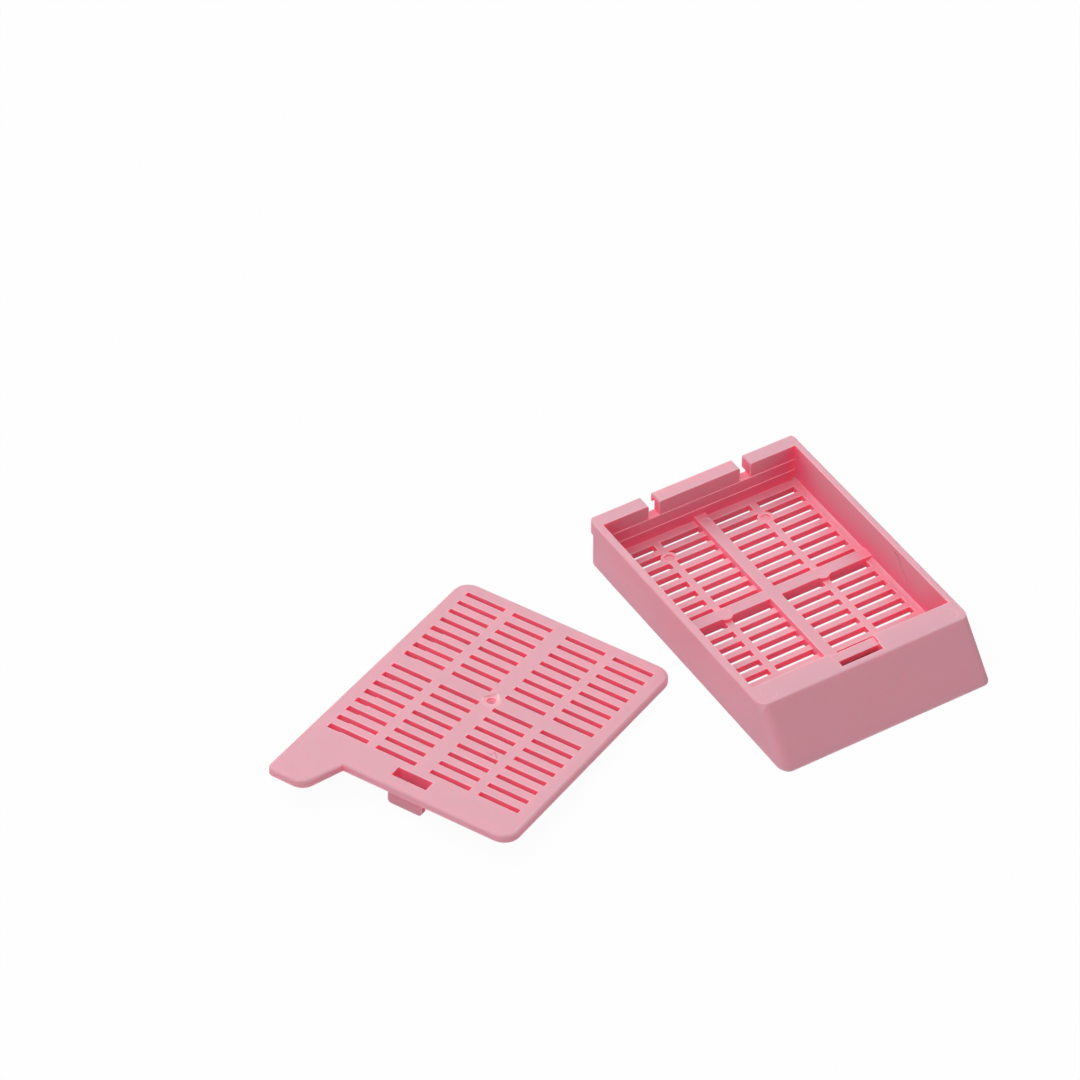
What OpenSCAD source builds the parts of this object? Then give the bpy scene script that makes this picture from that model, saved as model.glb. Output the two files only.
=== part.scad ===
/* [Base] */
// Width across the side walls
base_w = 28.5; // [27.5:0.1:29]
// Length from the foot of the writing face to the edge of the rear lip
base_l = 41.9; // [41.5:0.1:43]
// Height of the rim above the table
base_h = 6.3; // [5.9:0.1:7]
// Thickness of the side walls
wall_t = 0.9; // [0.7:0.05:1.1]
// Radius of the upright rear corners
corner_r = 0.5; // [0.1:0.1:0.6]
// Radius of the outer edges of the rim
rim_edge_r = 0.3; // [0.1:0.05:0.5]

/* [Writing face and ledge] */
// How far the slanted writing face leans back over its height
face_run = 5.12; // [4.5:0.01:5.3]
// Radius of the edges beside the writing face
face_edge_r = 1.2; // [0.3:0.1:1.5]
// Depth of the flat ledge behind the writing face
ledge_l = 3.1; // [3:0.05:3.3]
// Thickness of the ledge
ledge_t = 1.1; // [0.8:0.05:1.2]
// Thickness of the panel behind the writing face
panel_t = 1; // [0.7:0.05:1.1]
// Thickness of the wall under the back edge of the ledge
inner_wall_t = 0.9; // [0.7:0.05:0.95]

/* [Latch slot in the ledge] */
// Length of the slot across the ledge
latch_w = 5.6; // [5:0.1:7]
// Width of the slot from front to back
latch_l = 1.12; // [1:0.01:1.2]
// Distance of the slot behind the front edge of the ledge
latch_gap = 0.7; // [0.65:0.01:0.75]
// Length of the lowered strip behind the slot
strip_w = 6; // [5.5:0.1:8]
// Depth of the lowered strip
strip_depth = 0.33; // [0.25:0.01:0.4]

/* [Floor] */
// Height of the top of the floor slats
floor_z = 1.1; // [1:0.05:1.3]
// Depth of the recess under the slats
foot_depth = 0.2; // [0.1:0.05:0.3]
// How far the recess reaches past the slots
foot_margin = 0.5; // [0.3:0.05:0.6]
// Radius of the rear edge of the foot
rear_foot_r = 1; // [0.2:0.1:1]
// Distance from one floor slot to the next
floor_pitch = 1.8; // [1.75:0.01:1.82]
// Width of a floor slot
floor_slot_w = 1.02; // [0.8:0.01:1.1]
// Length of a floor slot
floor_slot_l = 5.4; // [5:0.05:5.5]
// Slots in each group of a column
floor_rows = 8; // [4:1:8]
// Width of the centre rib at its foot
rib_w = 1.76; // [1.5:0.02:1.8]
// Width of the bars between two columns of slots
bar_w = 0.88; // [0.8:0.02:1]
// Height of the top of the ribs
rib_z = 1.65; // [1.5:0.05:2.2]
// How much narrower the ribs are at their top
rib_taper = 0.3; // [0:0.05:0.5]
// Plain strip of floor in front of the rear wall
rear_margin = 1.23; // [1.1:0.01:1.3]
// Size of the gussets where the ribs cross
gusset = 0.75; // [0.4:0.05:1]
// Radius of the ejector pads on the bars
pad_r = 1; // [0.8:0.05:1.2]
// Depth of the ejector marks in the pads
pad_mark_depth = 0.2; // [0.05:0.05:0.4]
// Depth of the other ejector marks
mark_depth = 0.04; // [0.02:0.01:0.1]

/* [Rear wall and lip] */
// Thickness of the rear wall
rear_wall_t = 1.07; // [0.8:0.01:1.1]
// How far the lip stands out behind the rear wall
lip_out = 1; // [0.9:0.01:1.2]
// Height of the lip
lip_h = 1.8; // [1.7:0.05:2.6]
// How far the upper part of the lip leans in
lip_lean = 0.24; // [0:0.02:0.4]
// Height of the part of the lip that leans in
lip_lean_h = 1.3; // [1.3:0.1:1.7]
// Distance of the two notches from the middle
notch_x = 6.34; // [5.5:0.01:7.5]
// Width of a notch
notch_w = 1.44; // [1:0.01:1.5]
// Depth of a notch below the rim
notch_depth = 2; // [1.5:0.05:2.1]

/* [Lid] */
// Width of the lid plate
lid_w = 28.75; // [28.4:0.05:29]
// Length of the lid plate without its tab
lid_l = 34.8; // [34.8:0.1:35.6]
// Thickness of the lid plate
lid_t = 1; // [0.8:0.05:1.2]
// Radius of the plate's corners
lid_corner_r = 2; // [1:0.1:2.5]
// How far the finger tab stands out in front of the plate
tab_out = 5.27; // [4:0.01:7]
// Width of the finger tab where it leaves the plate
tab_w = 6.78; // [5:0.01:8]
// Distance from one lid slot to the next
lid_pitch = 1.815; // [1.78:0.005:1.82]
// Width of a lid slot
lid_slot_w = 0.7; // [0.5:0.05:0.9]
// Length of a lid slot
lid_slot_l = 5.27; // [4.8:0.05:5.3]
// Slots in each group of a column
lid_rows = 8; // [4:1:8]
// Plain strip between the rear edge of the lid and its first slots
lid_rear_margin = 1.68; // [1.6:0.01:2.3]
// Radius of the dimple where the lid was gated
gate_r = 0.57; // [0.4:0.01:0.7]
// Depth of the gate dimple
gate_depth = 0.3; // [0.1:0.05:0.5]

/* [Lid hook] */
// Width of the hook
hook_w = 4.5; // [4:0.1:4.9]
// Thickness of the hook
hook_t = 0.65; // [0.55:0.01:0.7]
// Drop of the hook below the plate
hook_drop = 2.53; // [2:0.01:3]
// Distance from the front edge of the plate to the back of the hook
hook_back = 1.65; // [1.6:0.01:1.7]
// Reach of the barb behind the hook
barb = 0.46; // [0.3:0.01:0.48]
// Length of the opening over the barb
hole_l = 1.5; // [1.5:0.01:1.6]
// Thickness of the pad around the opening, under the plate
pad_t = 0.22; // [0.05:0.01:0.24]
// Drop of the heel behind the opening, which stands in the base behind the ledge
heel_drop = 0.9; // [0.5:0.05:1.2]

/* [Place of the lid] */
// Sideways place of the middle of the lid's rear edge
lid_x = -22.69; // [-40:0.01:-20]
// Place of the middle of the lid's rear edge along the base
lid_y = 11.39; // [-10:0.01:20]
// Turn of the lid beside the base
lid_turn = -63.97; // [-90:0.01:-50]

/* [Hidden] */
pink = "#e0a7b0";
arc_steps = 6;
over = 1;

half_w = base_w / 2;
lid_half_w = lid_w / 2;
inner_x = half_w - wall_t;
ledge_back = face_run + ledge_l;
wall_front = base_l - lip_out - rear_wall_t;
wall_back = base_l - lip_out;
face_angle = atan(face_run / base_h);

slot_x = [rib_w / 2, rib_w / 2 + floor_slot_l + bar_w];
slots_outer_x = rib_w / 2 + 2 * floor_slot_l + bar_w;
rear_slots_back = wall_front - rear_margin;
cross_back = rear_slots_back - (floor_rows - 1) * floor_pitch - floor_slot_w;
cross_w = 1.65;
cross_front = cross_back - cross_w;
cross_y = cross_back - cross_w / 2;
cross_taper = 0.12;
front_slots_front = cross_front - (floor_rows - 1) * floor_pitch - floor_slot_w;
bar_x = rib_w / 2 + floor_slot_l + bar_w / 2;
pad_y = rear_slots_back - floor_pitch - floor_slot_w;
pad_shift = 0.15;
pad_mark_r = 0.62;
rib_mark_r = 0.72;
ledge_mark_r = 0.9;
ledge_mark_x = 12.3;
ledge_mark_y = 6.5;
ledge_mark_depth = 0.02;
rear_mark_y = wall_front - 1.75;
fillet_w = 0.5;
fillet_h = 0.35;

wall_steps = [[1.51, 0.12], [3.07, 0.06]];
notch_r = 0.35;
lip_end_r = 0.35;
lip_edge_r = 0.25;
lip_knee_r = 1;
lip_corner_r = 1.2;
flange_t = 0.45;
bead_t = 0.42;
bead_h = 1.2;

panel_foot = panel_t / cos(face_angle);
cavity_z = base_h - ledge_t;
cavity_front = panel_foot + cavity_z * tan(face_angle);
cavity_back = ledge_back - inner_wall_t;
latch_front = face_run + latch_gap;
latch_back = latch_front + latch_l;

lid_centre_gap = 1.94;
lid_bar_w = 1.14;
lid_group_gap = 2.72;
lid_slot_x = [lid_centre_gap / 2, lid_centre_gap / 2 + lid_slot_l + lid_bar_w];
step_l = lid_slot_l / 3;
step_w = 0.13;
first_step_row = 4;
tab_lean = 1.8;
tab_side_r = 0.9;
tab_end_r = 1.8;
gate_y = -lid_rear_margin - (lid_rows - 1) * lid_pitch - lid_slot_w - 1.2;
gate_rim_r = 0.85;
gate_rim_depth = 0.04;
hole_w = 4.6;
hook_y = -lid_l + hook_back;
lid_pad_w = 5.8;
lid_pad_front = hook_y + 0.15;
heel_front = hook_y + hole_l;
heel_back = heel_front + 0.8;
catch_z = 1.12;
tip_r = 0.45;
lid_lean = atan(hook_drop / -hook_y);
lid_z = lid_t * cos(lid_lean);

function unit(v) = v / norm(v);

// The arc of radius r that rounds corner c between its neighbours a and b
function corner_arc(a, c, b, r) =
    let (u = unit(a - c), v = unit(b - c), half = acos(u * v) / 2)
    let (middle = c + unit(u + v) * r / sin(half), reach = r / tan(half))
    let (from = c + u * reach - middle, to = c + v * reach - middle)
    let (start = atan2(from.y, from.x), turn = atan2(to.y, to.x) - start)
    let (sweep = turn > 180 ? turn - 360 : turn < -180 ? turn + 360 : turn)
    [for (i = [0:arc_steps])
        let (angle = start + sweep * i / arc_steps)
        middle + r * [cos(angle), sin(angle)]];

// An outline from corners [x, y, r], each rounded to its radius r, with 0 for a sharp one
function rounded(corners) =
    let (n = len(corners), flat = [for (c = corners) [c.x, c.y]])
    [for (i = [0:n - 1])
        each corners[i][2] == 0
            ? [flat[i]]
            : corner_arc(flat[(i + n - 1) % n], flat[i], flat[(i + 1) % n], corners[i][2])];

// An upright block between two corners
module block(low, high) {
    translate(low) cube(high - low);
}

// A [y, z] outline drawn out along x
module across(outline, x0, x1) {
    translate([x0, 0, 0]) rotate([90, 0, 90]) linear_extrude(x1 - x0) polygon(outline);
}

// An [x, z] outline drawn out along y
module along(outline, y0, y1) {
    translate([0, y1, 0]) rotate([90, 0, 0]) linear_extrude(y1 - y0) polygon(outline);
}

// An [x, y] outline drawn out along z
module upright(outline, z0, z1) {
    translate([0, 0, z0]) linear_extrude(z1 - z0) polygon(outline);
}

module both_sides() {
    children();
    mirror([1, 0, 0]) children();
}

// The block with the slanted face, its edges and rear corners rounded
module outer_block() {
    slant = [[-half_w, 0, face_edge_r], [half_w, 0, face_edge_r],
        [half_w, base_l, 0], [-half_w, base_l, 0]];
    plan = [[-half_w, -over, 0], [half_w, -over, 0],
        [half_w, wall_back, corner_r], [-half_w, wall_back, corner_r]];
    side = [[0, 0, 0], [wall_back, 0, rear_foot_r], [wall_back, base_h, 0], [face_run, base_h, 0]];
    intersection() {
        across(rounded(side), -half_w, half_w);
        upright(rounded(plan), -over, base_h + over);
        rotate([-face_angle, 0, 0]) upright(rounded(slant), -base_l, base_l);
    }
}

// One length of the solid lip between x0 and x1, with the radius of each end in plan
module lip_length(x0, x1, r0, r1) {
    section = [[wall_front, base_h - lip_h, 0], [base_l, base_h - lip_h, lip_edge_r],
        [base_l, base_h - lip_lean_h, lip_knee_r], [base_l - lip_lean, base_h, lip_edge_r],
        [wall_front, base_h, 0]];
    plan = [[x0, wall_front - over, 0], [x1, wall_front - over, 0], [x1, base_l, r1], [x0, base_l, r0]];
    intersection() {
        across(rounded(section), x0, x1);
        upright(rounded(plan), 0, base_h + over);
    }
}

// The middle length of the lip, a thin flange with a turned-down edge
module lip_flange() {
    x1 = notch_x - notch_w / 2;
    bead_y = base_l - lip_lean * (1 - bead_h / lip_lean_h);
    section = [[wall_front, base_h - flange_t, 0], [bead_y - bead_t, base_h - flange_t, 0],
        [bead_y - bead_t, base_h - bead_h, 0], [bead_y, base_h - bead_h, 0],
        [base_l - lip_lean, base_h, lip_edge_r], [wall_front, base_h, 0]];
    plan = [[-x1, wall_front - over, 0], [x1, wall_front - over, 0],
        [x1, base_l, lip_end_r], [-x1, base_l, lip_end_r]];
    intersection() {
        across(rounded(section), -x1, x1);
        upright(rounded(plan), 0, base_h + over);
    }
}

// The cut for one notch, its top corners rounded over
module notch() {
    cut = [[-notch_w / 2, base_h - notch_depth, 0], [notch_w / 2, base_h - notch_depth, 0],
        [notch_w / 2, base_h, notch_r], [notch_w / 2 + over, base_h, 0],
        [notch_w / 2 + over, base_h + over, 0], [-notch_w / 2 - over, base_h + over, 0],
        [-notch_w / 2 - over, base_h, 0], [-notch_w / 2, base_h, notch_r]];
    translate([notch_x, 0, 0]) along(rounded(cut), wall_front - over, base_l + over);
}

// The hollow under the ledge and the slot that lets the hook into it
module ledge_cuts() {
    hollow = [[panel_foot - over * tan(face_angle), -over], [cavity_front, cavity_z],
        [cavity_back, cavity_z], [cavity_back, -over]];
    across(hollow, -inner_x, inner_x);
    block([-latch_w / 2, latch_front, cavity_z - over], [latch_w / 2, latch_back, base_h + over]);
    block([-strip_w / 2, latch_back, base_h - strip_depth],
        [strip_w / 2, ledge_back + over, base_h + over]);
}

// The open floor slots of one half, all rows of both groups
module floor_slots() {
    for (x = slot_x, first = [rear_slots_back, cross_front], row = [0:floor_rows - 1]) {
        y = first - row * floor_pitch;
        block([x, y - floor_slot_w, -over], [x + floor_slot_l, y, floor_z + over]);
    }
}

// The rib down the middle, the rib across it and the gussets between them
module ribs() {
    foot = rib_w / 2;
    top = foot - rib_taper / 2;
    along([[-foot, foot_depth], [foot, foot_depth], [foot, floor_z], [top, rib_z], [-top, rib_z],
        [-foot, floor_z]],
        ledge_back - inner_wall_t / 2, wall_front + rear_wall_t / 2);
    across([[cross_front, foot_depth], [cross_back, foot_depth], [cross_back, floor_z],
        [cross_back - cross_taper / 2, rib_z], [cross_front + cross_taper / 2, rib_z],
        [cross_front, floor_z]],
        -inner_x - wall_t / 2, inner_x + wall_t / 2);
    reach_x = foot + gusset;
    reach_y = cross_w / 2 + gusset;
    translate([0, cross_y, 0])
        upright([[reach_x, 0], [0, reach_y], [-reach_x, 0], [0, -reach_y]], foot_depth, rib_z);
}

// The round pads that the ejector pins push on, one at the rear of a bar and one on the cross rib
module pads() {
    translate([bar_x, pad_y, foot_depth]) cylinder(r = pad_r, h = floor_z - foot_depth, $fn = 32);
    translate([bar_x, cross_y - pad_shift, foot_depth]) cylinder(r = pad_r, h = rib_z - foot_depth, $fn = 32);
}

// A shallow round mark sunk from height z
module mark(x, y, z, r, depth) {
    translate([x, y, z - depth]) cylinder(r = r, h = depth + over, $fn = 32);
}

module ejector_marks() {
    both_sides() mark(bar_x, pad_y, floor_z, pad_mark_r, pad_mark_depth);
    both_sides() mark(bar_x, cross_y, rib_z, rib_mark_r, mark_depth);
    mark(0, rear_mark_y, rib_z, rib_mark_r, mark_depth);
    both_sides() mark(ledge_mark_x, ledge_mark_y, base_h, ledge_mark_r, ledge_mark_depth);
}

// The small bevels at the foot of the side walls and the two steps on the rear wall
module wall_feet() {
    both_sides()
        along([[inner_x - fillet_w, floor_z], [inner_x + wall_t / 2, floor_z - fillet_h],
            [inner_x + wall_t / 2, floor_z + fillet_h], [inner_x, floor_z + fillet_h]],
            ledge_back - inner_wall_t / 2, wall_front + rear_wall_t / 2);
    for (s = wall_steps)
        block([-inner_x - wall_t / 2, wall_front - s[1], floor_z - fillet_h],
            [inner_x + wall_t / 2, wall_front + rear_wall_t / 2, floor_z + s[0]]);
}

// The outer shape with its slots, ribs and lip, before the rim is rounded
module base_body() {
    difference() {
        union() {
            difference() {
                outer_block();
                block([-inner_x, ledge_back, floor_z], [inner_x, wall_front, base_h + over]);
                block([-slots_outer_x - foot_margin, front_slots_front - foot_margin, -over],
                    [slots_outer_x + foot_margin, rear_slots_back + foot_margin, foot_depth]);
                both_sides() floor_slots();
                ledge_cuts();
            }
            ribs();
            wall_feet();
            both_sides() pads();
            both_sides() lip_length(notch_x + notch_w / 2, half_w, lip_end_r, lip_corner_r);
            lip_flange();
        }
        both_sides() notch();
        ejector_marks();
    }
}

module base() {
    front_view = [[-half_w, 0, 0], [half_w, 0, 0],
        [half_w, base_h, rim_edge_r], [-half_w, base_h, rim_edge_r]];
    color(pink) translate([0, -base_l / 2, 0]) intersection() {
        base_body();
        along(rounded(front_view), -over, base_l + over);
    }
}

// The plate with its finger tab in one outline
module lid_plate() {
    tab_right = tab_w - lid_half_w;
    front = -lid_l - tab_out;
    outline = [[-lid_half_w, 0, lid_corner_r], [-lid_half_w, front, tab_side_r],
        [tab_right - tab_lean, front, tab_end_r], [tab_right, -lid_l, 0],
        [lid_half_w, -lid_l, lid_corner_r], [lid_half_w, 0, lid_corner_r]];
    upright(rounded(outline), -lid_t, 0);
}

// All slots of the lid, and the short wider stretches at the left end of some of them
module lid_slots() {
    group = (lid_rows - 1) * lid_pitch + lid_group_gap;
    for (g = [0, 1], row = [0:lid_rows - 1]) {
        y = -lid_rear_margin - g * group - row * lid_pitch - lid_slot_w;
        both_sides() for (x = lid_slot_x)
            block([x, y, -lid_t - over], [x + lid_slot_l, y + lid_slot_w, over]);
        outer = lid_slot_x[1] + lid_slot_l;
        if (g * lid_rows + row >= first_step_row && g * lid_rows + row != lid_rows)
            block([-outer, y - step_w, -lid_t - over], [step_l - outer, y + lid_slot_w / 2, over]);
    }
}

// The hook below the front of the plate, with a barb that points back
module hook() {
    root = -lid_t / 2;
    catch = -lid_t - catch_z;
    tip = -lid_t - hook_drop;
    face = [[-hook_w / 2, tip, tip_r], [hook_w / 2, tip, tip_r],
        [hook_w / 2, root, 0], [-hook_w / 2, root, 0]];
    intersection() {
        across([[hook_y, root], [hook_y, catch], [hook_y + barb, catch], [hook_y, tip],
            [hook_y - hook_t, tip], [hook_y - hook_t, root]], -hook_w / 2, hook_w / 2);
        along(rounded(face), hook_y - hook_t - over, hook_y + barb + over);
    }
}

module lid() {
    color(pink) translate([lid_x, lid_y, lid_z]) rotate([-lid_lean, 0, lid_turn]) {
        difference() {
            union() {
                lid_plate();
                block([-lid_pad_w / 2, lid_pad_front, -lid_t - pad_t],
                    [lid_pad_w / 2, heel_back, -lid_t / 2]);
                block([-lid_pad_w / 2, heel_front, -lid_t - heel_drop],
                    [lid_pad_w / 2, heel_back, -lid_t / 2]);
            }
            lid_slots();
            mark(0, gate_y, 0, gate_rim_r, gate_rim_depth);
            mark(0, gate_y, 0, gate_r, gate_depth);
            block([-hole_w / 2, hook_y, -lid_t - over], [hole_w / 2, hook_y + hole_l, over]);
        }
        hook();
    }
}

base();
lid();
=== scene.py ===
import math

import bmesh
import bpy
import numpy as np
from mathutils import Matrix, Vector


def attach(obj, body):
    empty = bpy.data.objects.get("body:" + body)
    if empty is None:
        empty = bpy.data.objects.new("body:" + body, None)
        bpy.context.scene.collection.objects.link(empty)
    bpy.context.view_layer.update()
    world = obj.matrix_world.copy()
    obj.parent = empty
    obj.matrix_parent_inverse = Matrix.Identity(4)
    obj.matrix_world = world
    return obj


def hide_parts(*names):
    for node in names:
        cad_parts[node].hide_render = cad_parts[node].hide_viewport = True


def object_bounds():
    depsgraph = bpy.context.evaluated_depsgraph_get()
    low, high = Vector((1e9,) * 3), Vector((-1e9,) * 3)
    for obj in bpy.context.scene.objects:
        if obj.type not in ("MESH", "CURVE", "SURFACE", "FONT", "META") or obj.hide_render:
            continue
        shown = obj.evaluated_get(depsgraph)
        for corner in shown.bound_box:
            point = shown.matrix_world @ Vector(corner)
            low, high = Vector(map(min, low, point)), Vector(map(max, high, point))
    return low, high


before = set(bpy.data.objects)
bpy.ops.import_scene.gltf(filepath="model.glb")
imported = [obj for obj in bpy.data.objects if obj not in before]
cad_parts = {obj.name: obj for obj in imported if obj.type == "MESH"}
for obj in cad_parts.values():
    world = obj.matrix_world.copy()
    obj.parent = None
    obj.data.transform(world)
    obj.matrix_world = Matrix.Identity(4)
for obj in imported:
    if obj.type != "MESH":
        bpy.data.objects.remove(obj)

mm = 0.001
cadLow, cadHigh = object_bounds()


def toLinear(hexColour):
    # sRGB hex to linear: c / 12.92 below 0.04045, else ((c + 0.055) / 1.055) ** 2.4
    c = np.array([int(hexColour[i:i + 2], 16) for i in (1, 3, 5)]) / 255
    c = np.where(c <= 0.04045, c / 12.92, ((c + 0.055) / 1.055) ** 2.4)
    return (*c.tolist(), 1.0)


def addNode(tree, kind, inputs=None, **settings):
    # adds a node, sets its properties, and fills its sockets with values or links
    node = tree.nodes.new(kind)
    for key, value in settings.items():
        setattr(node, key, value)
    for key, value in (inputs or {}).items():
        if isinstance(value, bpy.types.NodeSocket):
            tree.links.new(value, node.inputs[key])
        else:
            node.inputs[key].default_value = value
    return node


# material: acetal, injection moulded against spark-eroded steel
acetal = {
    "colour": "#e9adbb",
    "paintedShadeColour": "#f27896",          # painted shade of corners and slots: a deep pink standing in for the shade there and for light that has been through the plastic
    "hollowMm": 6,                    # how far away a wall still closes a corner in
    "hollowFrom": 0.6,                # open share of the sky at which the painted shade is full
    "hollowTo": 1.05,                 # and at which none of it would be left
    "upwardLitShare": 0.55,              # painted light: share of the pale colour that a face looking up keeps in a hollow
    "hollowScatter": 1.4,             # how much further light travels in the walls of a hollow
    "paintedHighlightColour": "#ffd2da",         # painted highlight: a thin bright line along every outward edge
    "paintedHighlightMm": 0.14,
    "paintedHighlightShare": 0.6,                # of that colour at the edge itself
    "paintedHighlightFull": 0.6,                 # share of plastic behind a point at which the line is full
    "cloudMm": 9,                     # faint unevenness of the colour
    "cloudKeeps": 0.97,               # green and blue that are left in the middle of a cloud
    "roughness": 0.55,
    "roughnessRange": 0.05,           # either way, with the grit
    "ior": 1.48,
    "scatterMm": (1.3, 0.15, 0.18),   # how far red, green and blue light travels inside
    "grainMm": 0.16,                  # grit of the skin, a few times coarser than it is, so that it shows
    "grainDepthMm": 0.004,
    "grainStrength": 0.5,
    "edgeMm": 0.08,                   # radius of every small edge
}
# painted shade on the sloping front face of the base, which is turned away from the lamps
writingFacePaintedShade = {
    "frontMm": -15.85,                # it lies in front of this along y, past a short fade
    "fadeMm": 0.1,
    "turnedFull": -0.7,               # y of the normal at which its tint is full
    "turnedNone": -0.1,               # and at which it has gone
    "colour": "#ffe9ec",              # painted shade, multiplies the plastic's own
}
plainMark = {"pitch": 0.5, "wobble": (0, 0, 0)}   # of a mark that gives none of its own, in mm


def marked(tree, coords, tint, marks):
    # wear, and painted shade on the floor of the gate: a mark covers the points within its width of a
    # segment, or of a ring about its first end, and fades outwards; a wobble of the coordinates makes
    # hairlines and smears uneven
    for mark in marks:
        start = Vector(mark["from"]) * mm
        end = Vector(mark.get("to", mark["from"])) * mm
        noise = addNode(tree, "ShaderNodeTexNoise",
                        {"Vector": coords, "Scale": 1 / (mark.get("pitch", plainMark["pitch"]) * mm)})
        wobble = addNode(tree, "ShaderNodeVectorMath", {0: noise.outputs["Color"], 1: (-0.5, -0.5, -0.5)},
                         operation="ADD")
        reach = Vector(mark.get("wobble", plainMark["wobble"])) * mm
        place = addNode(tree, "ShaderNodeVectorMath", {0: wobble.outputs[0], 1: reach, 2: coords},
                        operation="MULTIPLY_ADD")
        place = addNode(tree, "ShaderNodeVectorMath", {0: place.outputs[0], 1: start},
                        operation="SUBTRACT").outputs[0]
        if end != start:
            way = (end - start).normalized()
            length = (end - start).length
            along = addNode(tree, "ShaderNodeVectorMath", {0: place, 1: way}, operation="DOT_PRODUCT")
            along = addNode(tree, "ShaderNodeMapRange",
                            {"Value": along.outputs["Value"], "From Max": length, "To Max": length})
            foot = addNode(tree, "ShaderNodeVectorMath", {0: way, "Scale": along.outputs[0]},
                           operation="SCALE")
            place = addNode(tree, "ShaderNodeVectorMath", {0: place, 1: foot.outputs[0]},
                            operation="SUBTRACT").outputs[0]
        away = addNode(tree, "ShaderNodeVectorMath", {0: place}, operation="LENGTH").outputs["Value"]
        if "ring" in mark:
            away = addNode(tree, "ShaderNodeMath", {0: away, 1: mark["ring"] * mm},
                           operation="SUBTRACT").outputs[0]
            away = addNode(tree, "ShaderNodeMath", {0: away}, operation="ABSOLUTE").outputs[0]
        cover = addNode(tree, "ShaderNodeMapRange",
                        {"Value": away, "From Max": mark["width"] * mm,
                         "To Min": mark["share"], "To Max": 0.0}, interpolation_type="SMOOTHSTEP")
        tint = addNode(tree, "ShaderNodeMix",
                       {"Factor": cover.outputs["Result"], "A": tint.outputs["Result"],
                        "B": toLinear(mark["colour"])}, data_type="RGBA")
    return tint


baseMarks = [  # places, widths, wobbles and their pitches in mm
    {"from": (13.35, -2.0, 5.9), "to": (13.35, -4.6, 3.3), "width": 0.08, "share": 0.8, "colour": "#9c2c48",
     "wobble": (0, 1.5, 0.9), "pitch": 0.7},   # hairline in the right wall
    {"from": (13.35, 8.51, 5.5), "width": 0.14, "share": 0.8, "colour": "#8c3045"},   # and specks
    {"from": (13.35, 6.59, 4.9), "width": 0.12, "share": 0.7, "colour": "#a04058"},
    {"from": (-14.25, 11.94, 2.59), "width": 0.16, "share": 0.75, "colour": "#9a5060"},
    {"from": (-13.5, 15.54, 6.3), "width": 0.15, "share": 0.7, "colour": "#a05868"},
]
gateMm = (0, -16.285, 0)
gateShadeFloorMm = (0, -16.285, -0.3)
lidMarks = [  # in the lid's own frame
    {"from": gateShadeFloorMm, "width": 0.66, "share": 0.7, "colour": "#c8506a"},             # painted shade on the floor of the gate's dimple
    {"from": gateMm, "ring": 0.66, "width": 0.1, "share": 0.4, "colour": "#ffd9df"},     # its pale rim
    {"from": gateMm, "ring": 1.05, "width": 0.16, "share": 0.35, "colour": "#ffd9df",
     "wobble": (0.2, 0.2, 0)},
    {"from": (-0.99, -16.1, 0), "to": (-0.31, -15.2, 0), "width": 0.3, "share": 0.5, "colour": "#c86478"},
    {"from": (0.1, -15.0, 0), "to": (0.62, -15.8, 0), "width": 0.24, "share": 0.45, "colour": "#fff0f2",
     "wobble": (0.5, 0.5, 0), "pitch": 0.4},   # a dark and a pale streak beside it
]
scratchMm = [(4.45, -23.98, 0), (5.02, -24.05, 0), (5.02, -23.43, 0), (5.27, -23.52, 0), (5.84, -24.23, 0)]
for a, b in zip(scratchMm, scratchMm[1:]):
    lidMarks.append({"from": a, "to": b, "width": 0.12, "share": 0.45, "colour": "#b4506a"})


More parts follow.
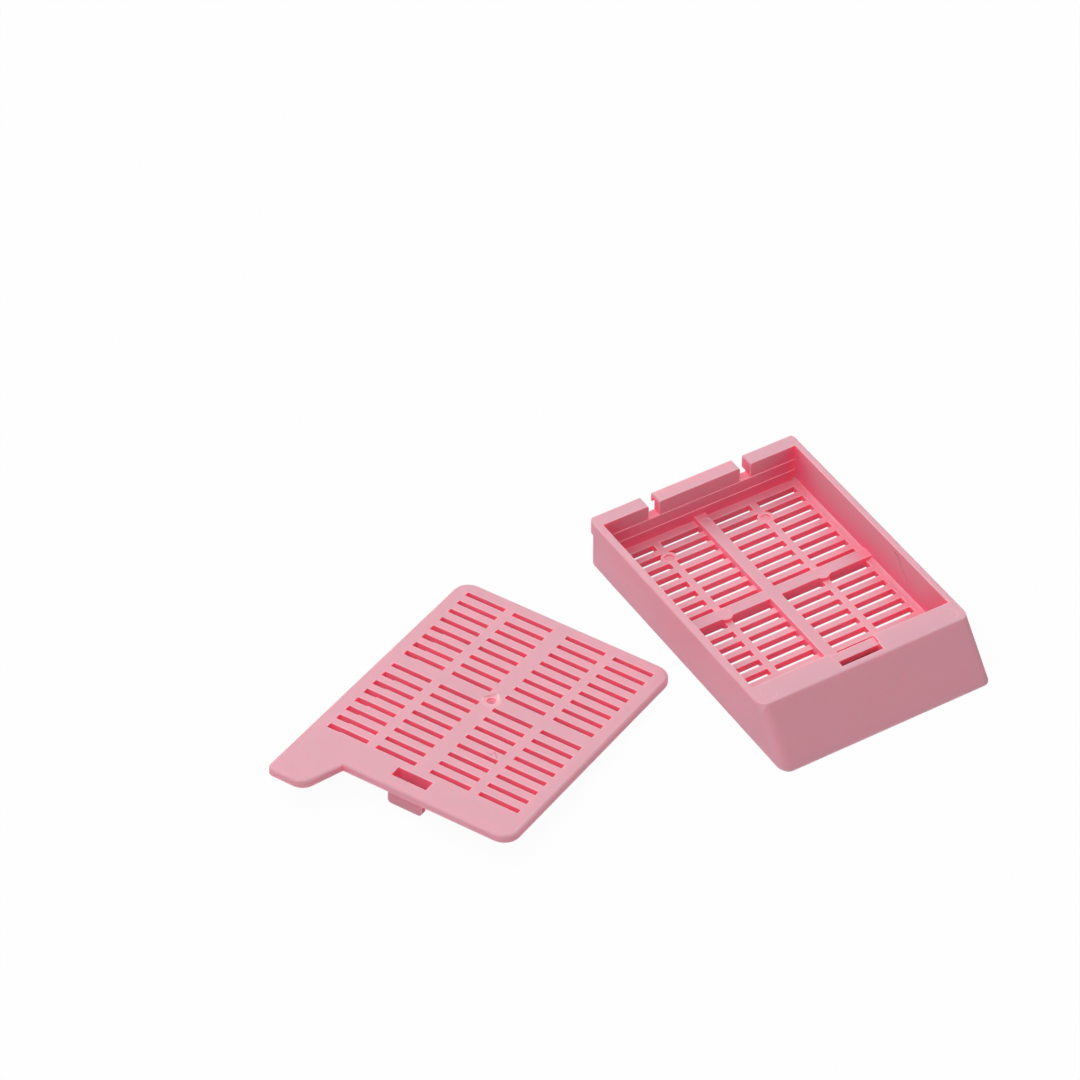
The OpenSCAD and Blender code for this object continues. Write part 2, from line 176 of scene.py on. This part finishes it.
def mouldedAcetal(name, s, place, marks, facePaintedShade=None):
    # milky plastic: light gets in and comes out redder, so thin walls glow; corners and slots are painted a
    # deep pink as shade, faces looking up are painted paler, outward edges carry a painted highlight, and
    # open faces keep the pale pink and a soft, even shine over a fine grit
    mat = bpy.data.materials.new(name)
    mat.use_nodes = True
    tree = mat.node_tree
    tree.nodes.clear()
    coords = addNode(tree, "ShaderNodeTexCoord").outputs["Object"]
    own = addNode(tree, "ShaderNodeMapping",   # back to the frame that the piece was drawn in
                  {"Vector": coords, "Location": place.translation, "Rotation": place.to_euler()},
                  vector_type="TEXTURE").outputs[0]
    grain = addNode(tree, "ShaderNodeTexNoise",
                    {"Vector": coords, "Scale": 1 / (s["grainMm"] * mm), "Detail": 3.0, "Roughness": 0.6})
    cloud = addNode(tree, "ShaderNodeTexNoise",
                    {"Vector": coords, "Scale": 1 / (s["cloudMm"] * mm), "Detail": 2.0, "Roughness": 0.5})
    # painted shade: corners and slots are tinted deep pink by how closed in they are, and faces looking up
    # keep more of the pale pink as painted light
    openness = addNode(tree, "ShaderNodeAmbientOcclusion", {"Distance": s["hollowMm"] * mm},
                       samples=16, only_local=True)
    shallow = addNode(tree, "ShaderNodeMapRange",
                      {"Value": openness.outputs["AO"], "From Min": s["hollowFrom"],
                       "From Max": s["hollowTo"]})
    facing = addNode(tree, "ShaderNodeSeparateXYZ",
                     {"Vector": addNode(tree, "ShaderNodeNewGeometry").outputs["True Normal"]})
    upwardLit = addNode(tree, "ShaderNodeMapRange", {"Value": facing.outputs["Z"], "To Max": s["upwardLitShare"]})
    paintedLitShare = addNode(tree, "ShaderNodeMath", {0: shallow.outputs["Result"], 1: upwardLit.outputs["Result"]},
                   operation="ADD", use_clamp=True)
    tint = addNode(tree, "ShaderNodeMix",
                   {"Factor": paintedLitShare.outputs[0], "A": toLinear(s["paintedShadeColour"]), "B": toLinear(s["colour"])},
                   data_type="RGBA")
    # painted highlight: paler along outward edges, where plastic lies close behind a point
    inside = addNode(tree, "ShaderNodeAmbientOcclusion", {"Distance": s["paintedHighlightMm"] * mm},
                     samples=16, only_local=True, inside=True)
    paintedHighlight = addNode(tree, "ShaderNodeMapRange",
                    {"Value": inside.outputs["AO"], "From Min": s["paintedHighlightFull"], "From Max": 1.0,
                     "To Min": s["paintedHighlightShare"], "To Max": 0.0})
    tint = addNode(tree, "ShaderNodeMix",
                   {"Factor": paintedHighlight.outputs["Result"], "A": tint.outputs["Result"],
                    "B": toLinear(s["paintedHighlightColour"])}, data_type="RGBA")
    tint = addNode(tree, "ShaderNodeMix",
                   {"Factor": cloud.outputs["Fac"], "A": tint.outputs["Result"],
                    "B": (1, s["cloudKeeps"], s["cloudKeeps"], 1)},
                   data_type="RGBA", blend_type="MULTIPLY")
    if facePaintedShade:   # painted shade: the face turned to the front is a shade deeper than the rest, from the front edge of the ledge down
        along = addNode(tree, "ShaderNodeSeparateXYZ", {"Vector": coords})
        ahead = addNode(tree, "ShaderNodeMapRange",
                        {"Value": along.outputs["Y"], "From Min": (facePaintedShade["frontMm"] - facePaintedShade["fadeMm"]) * mm,
                         "From Max": facePaintedShade["frontMm"] * mm, "To Min": 1.0, "To Max": 0.0})
        turned = addNode(tree, "ShaderNodeSeparateXYZ",
                         {"Vector": addNode(tree, "ShaderNodeNewGeometry").outputs["Normal"]})
        front = addNode(tree, "ShaderNodeMapRange",
                        {"Value": turned.outputs["Y"], "From Min": facePaintedShade["turnedFull"],
                         "From Max": facePaintedShade["turnedNone"], "To Min": 1.0, "To Max": 0.0})
        cover = addNode(tree, "ShaderNodeMath", {0: ahead.outputs["Result"], 1: front.outputs["Result"]},
                        operation="MULTIPLY")
        tint = addNode(tree, "ShaderNodeMix",
                       {"Factor": cover.outputs[0], "A": tint.outputs["Result"],
                        "B": toLinear(facePaintedShade["colour"])}, data_type="RGBA", blend_type="MULTIPLY")
    tint = marked(tree, own, tint, marks)
    depth = addNode(tree, "ShaderNodeMapRange",
                    {"Value": shallow.outputs["Result"], "To Min": s["hollowScatter"] * mm, "To Max": mm})
    edge = addNode(tree, "ShaderNodeBevel", {"Radius": s["edgeMm"] * mm}, samples=8)
    bump = addNode(tree, "ShaderNodeBump",
                   {"Height": grain.outputs["Fac"], "Strength": s["grainStrength"],
                    "Distance": s["grainDepthMm"] * mm, "Normal": edge.outputs["Normal"]})
    rough = addNode(tree, "ShaderNodeMapRange",
                    {"Value": grain.outputs["Fac"], "To Min": s["roughness"] - s["roughnessRange"],
                     "To Max": s["roughness"] + s["roughnessRange"]})
    shader = addNode(tree, "ShaderNodeBsdfPrincipled",
                     {"Base Color": tint.outputs["Result"], "Roughness": rough.outputs["Result"],
                      "IOR": s["ior"], "Subsurface Weight": 1.0, "Subsurface Scale": depth.outputs["Result"],
                      "Subsurface Radius": s["scatterMm"], "Normal": bump.outputs["Normal"]},
                     subsurface_method="BURLEY")
    addNode(tree, "ShaderNodeOutputMaterial", {"Surface": shader.outputs[0]})
    return mat


# mouldings: copies of the CAD solids, with the lid's top edge and the front edge of the ledge rounded
shaping = {
    "mergeMm": 0.001,
    "cutSnapMm": 0.004,
    "flatDeg": 0.3,      # faces are joined where they turn by less than this
    "foldDeg": 28,       # edges may be rounded where they turn by more than this
    "smoothDeg": 40,     # and are shaded smooth below this
}


def finished(nodeName, name, s, toOwn):
    # merges the copy, cuts it across each row of slots, joins the flat faces between the cuts, so that
    # no face has a hole, and rounds each convex edge that lies in the box of a rule;
    # toOwn takes a point to the frame that the solid was drawn in, where the cuts and the rules are given
    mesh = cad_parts[nodeName].data.copy()
    mesh.name = name
    bm = bmesh.new()
    bm.from_mesh(mesh)
    bmesh.ops.remove_doubles(bm, verts=bm.verts, dist=shaping["mergeMm"] * mm)
    place = toOwn.inverted()
    for way, levels in s["cutsMm"].items():
        for level in levels:
            cut = bmesh.ops.bisect_plane(bm, geom=bm.verts[:] + bm.edges[:] + bm.faces[:],
                                         dist=shaping["cutSnapMm"] * mm,
                                         plane_co=place @ (Vector(way) * level * mm),
                                         plane_no=place.to_3x3() @ Vector(way))["geom_cut"]
            for edge in cut:
                if isinstance(edge, bmesh.types.BMEdge):
                    edge.seam = True
    bmesh.ops.dissolve_limit(bm, angle_limit=math.radians(shaping["flatDeg"]), verts=bm.verts,
                             edges=bm.edges, delimit={"SEAM"})
    weight = bm.edges.layers.float.new("bevel_weight_edge")
    widest = max(setback for low, high, setback in s["rules"])
    count = 0
    for edge in bm.edges:
        if len(edge.link_faces) == 2 and edge.calc_face_angle_signed(0) > math.radians(shaping["foldDeg"]):
            ends = [toOwn @ v.co / mm for v in edge.verts]
            for low, high, setback in s["rules"]:
                if all(low[k] <= p[k] <= high[k] for p in ends for k in range(3)):
                    edge[weight] = setback / widest
                    count += 1
                    break
    bm.to_mesh(mesh)
    bm.free()
    for key in list(mesh.attributes.keys()):   # the solid's own normals no longer fit
        if key.startswith("custom_normal"):
            mesh.attributes.remove(mesh.attributes[key])
    piece = bpy.data.objects.new(name, mesh)
    bpy.context.scene.collection.objects.link(piece)
    rounding = piece.modifiers.new("rounding", "BEVEL")
    rounding.limit_method = "WEIGHT"
    rounding.offset_type = "OFFSET"
    rounding.width = widest * mm
    rounding.segments = s["segments"]
    rounding.use_clamp_overlap = False
    rounding.miter_outer = "MITER_ARC"
    rounded = bpy.data.meshes.new_from_object(piece.evaluated_get(bpy.context.evaluated_depsgraph_get()))
    rounded.name = name
    piece.modifiers.clear()
    piece.data = rounded
    rounded.shade_smooth()
    rounded.set_sharp_from_angle(angle=math.radians(shaping["smoothDeg"]))
    shading = piece.modifiers.new("shading", "WEIGHTED_NORMAL")
    shading.keep_sharp = True
    shading.weight = 100
    print(name, "edges rounded", count, "faces", len(rounded.polygons))
    return piece


def slotLevels(first, pitch):
    # one level inside each slot of a block of eight, from the rear one to the front one
    return [first - pitch * i for i in range(8)]


baseSettings = {
    "segments": 4,
    "cutsMm": {   # direction and levels
        (1, 0, 0): [-6.4, 0, 6.4],   # the notches and the bars below them, and the middle rib
        (0, 1, 0): slotLevels(17.14, 1.8) + slotLevels(1.87, 1.8)
                   + [14.83, 3.205, -14.54],   # the pads, the cross rib and the slot in the ledge
    },
    "rules": [    # low corner, high corner, and how far the edge is set back along each of its faces
        ((-13.1, -15.9, 6.29), (13.1, -15.7, 6.31), 0.16),   # front edge of the ledge
    ],
}
lidSettings = {
    "segments": 4,
    "cutsMm": {
        (0, 1, 0): slotLevels(-2.2, 1.815) + slotLevels(-17.455, 1.815)
                   + [-16.285, -32.4],   # the gate and the opening
    },
    "rules": [    # top edge of the plate, side by side
        ((-14.4, -40.5, -0.01), (-12.8, 0.1, 0.01), 0.35),
        ((12.8, -40.5, -0.01), (14.4, 0.1, 0.01), 0.35),
        ((-14.4, -1, -0.01), (14.4, 0.01, 0.01), 0.35),
        ((-14.4, -41, -0.01), (14.4, -34.7, 0.01), 0.35),
    ],
    "thickMm": 1,
    "atMm": (-22.69, 11.39),   # place of the middle of its top rear edge
    "turnDeg": -63.97,
    "dropMm": 2.53,            # from the underside of the plate to the tip of the hook
    "reachMm": 33.15,          # from its rear edge to the back of the hook
}
# it rests on its rear bottom edge and the tip of its hook
lean = math.atan(lidSettings["dropMm"] / lidSettings["reachMm"])
lidX, lidY = lidSettings["atMm"]
lidTop = lidSettings["thickMm"] * math.cos(lean)
lidPlace = (Matrix.Translation((lidX * mm, lidY * mm, lidTop * mm))
            @ Matrix.Rotation(math.radians(lidSettings["turnDeg"]), 4, "Z") @ Matrix.Rotation(-lean, 4, "X"))
basePlace = Matrix.Identity(4)

base = finished("base", "cassetteBase", baseSettings, basePlace.inverted())
base.data.materials.clear()
base.data.materials.append(mouldedAcetal("mouldedAcetalBase", acetal, basePlace, baseMarks, writingFacePaintedShade))
lid = finished("lid", "cassetteLid", lidSettings, lidPlace.inverted())
lid.data.materials.clear()
lid.data.materials.append(mouldedAcetal("mouldedAcetalLid", acetal, lidPlace, lidMarks))
for piece, node in ((base, "base"), (lid, "lid")):
    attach(piece, "root")
    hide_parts(node)
print("mouldings done")


# floor, light and camera
studio = {
    "floorColour": "#f6f6f6",
    "floorOwnLight": 0.96,   # share of the floor that the camera sees as plain white
    "floorHalf": 4,          # metres
    "floorGapMm": 0.02,      # between the floor and the plastic
    "worldStrength": 0.38,
    "skyColour": "#ffffff",
}


def seenPlain(tree):
    # 1 where a surface is seen, directly, in a gloss or through something clear, and 0 where it gives light
    path = addNode(tree, "ShaderNodeLightPath")
    seen = addNode(tree, "ShaderNodeMath",
                   {0: path.outputs["Is Camera Ray"], 1: path.outputs["Is Glossy Ray"]}, operation="ADD")
    seen = addNode(tree, "ShaderNodeMath",
                   {0: seen.outputs[0], 1: path.outputs["Is Transmission Ray"]}, operation="ADD",
                   use_clamp=True)
    return seen.outputs[0]


def paperFloor(s):
    # matt white paper: an even white that keeps the faint soft shadow of what stands on it
    mat = bpy.data.materials.new("whitePaper")
    mat.use_nodes = True
    tree = mat.node_tree
    tree.nodes.clear()
    share = addNode(tree, "ShaderNodeMath", {0: seenPlain(tree), 1: s["floorOwnLight"]},
                    operation="MULTIPLY")
    paper = addNode(tree, "ShaderNodeBsdfDiffuse", {"Color": toLinear(s["floorColour"])})
    white = addNode(tree, "ShaderNodeEmission", {"Color": (1, 1, 1, 1), "Strength": 1.0})
    mix = addNode(tree, "ShaderNodeMixShader",
                  {0: share.outputs[0], 1: paper.outputs[0], 2: white.outputs[0]})
    addNode(tree, "ShaderNodeOutputMaterial", {"Surface": mix.outputs[0]})
    return mat


floorMesh = bpy.data.meshes.new("paperFloor")
h = studio["floorHalf"]
floorMesh.from_pydata([(-h, -h, 0), (h, -h, 0), (h, h, 0), (-h, h, 0)], [], [(0, 1, 2, 3)])
floor = bpy.data.objects.new("paperFloor", floorMesh)
floor.location.z = cadLow.z - studio["floorGapMm"] * mm
bpy.context.scene.collection.objects.link(floor)
floorMesh.materials.append(paperFloor(studio))

world = bpy.data.worlds.new("studio")
bpy.context.scene.world = world
world.use_nodes = True
tree = world.node_tree
tree.nodes.clear()
strength = addNode(tree, "ShaderNodeMapRange",
                   {"Value": seenPlain(tree), "To Min": studio["worldStrength"], "To Max": 1.0})
sky = addNode(tree, "ShaderNodeBackground",
              {"Color": toLinear(studio["skyColour"]), "Strength": strength.outputs[0]})
addNode(tree, "ShaderNodeOutputWorld", {"Surface": sky.outputs[0]})

softboxes = {  # place and size in metres, and watts; each is turned to the middle of the part
    "topBox": {"at": (-0.3, 0.16, 0.58), "size": 0.8, "watts": 2.8},
    "rearBox": {"at": (0.2, 0.34, 0.4), "size": 0.35, "watts": 0.5},   # a soft shine on faces that look up
}
centre = (cadLow + cadHigh) / 2
for name, s in softboxes.items():
    lamp = bpy.data.lights.new(name, "AREA")
    lamp.shape = "SQUARE"
    lamp.size = s["size"]
    lamp.energy = s["watts"]
    box = bpy.data.objects.new(name, lamp)
    bpy.context.scene.collection.objects.link(box)
    box.location = s["at"]
    box.rotation_euler = (centre - Vector(s["at"])).to_track_quat("-Z", "Y").to_euler()

view = {
    "lensMm": 167.49,
    "sensorMm": 36,
    "atMm": (-243.45, -344.08, 399.89),
    "towardsMm": (-0.484, 54.007, -29.888),
    "nearest": 0.01,   # metres
    "farthest": 20,
}
cameraData = bpy.data.cameras.new("camera")
cameraData.lens = view["lensMm"]
cameraData.sensor_width = view["sensorMm"]
cameraData.clip_start = view["nearest"]
cameraData.clip_end = view["farthest"]
camera = bpy.data.objects.new("camera", cameraData)
bpy.context.scene.collection.objects.link(camera)
camera.location = Vector(view["atMm"]) * mm
sight = Vector(view["towardsMm"]) - Vector(view["atMm"])
camera.rotation_euler = sight.to_track_quat("-Z", "Y").to_euler()
bpy.context.scene.camera = camera
bpy.context.scene.view_settings.view_transform = "Standard"
print("studio done")
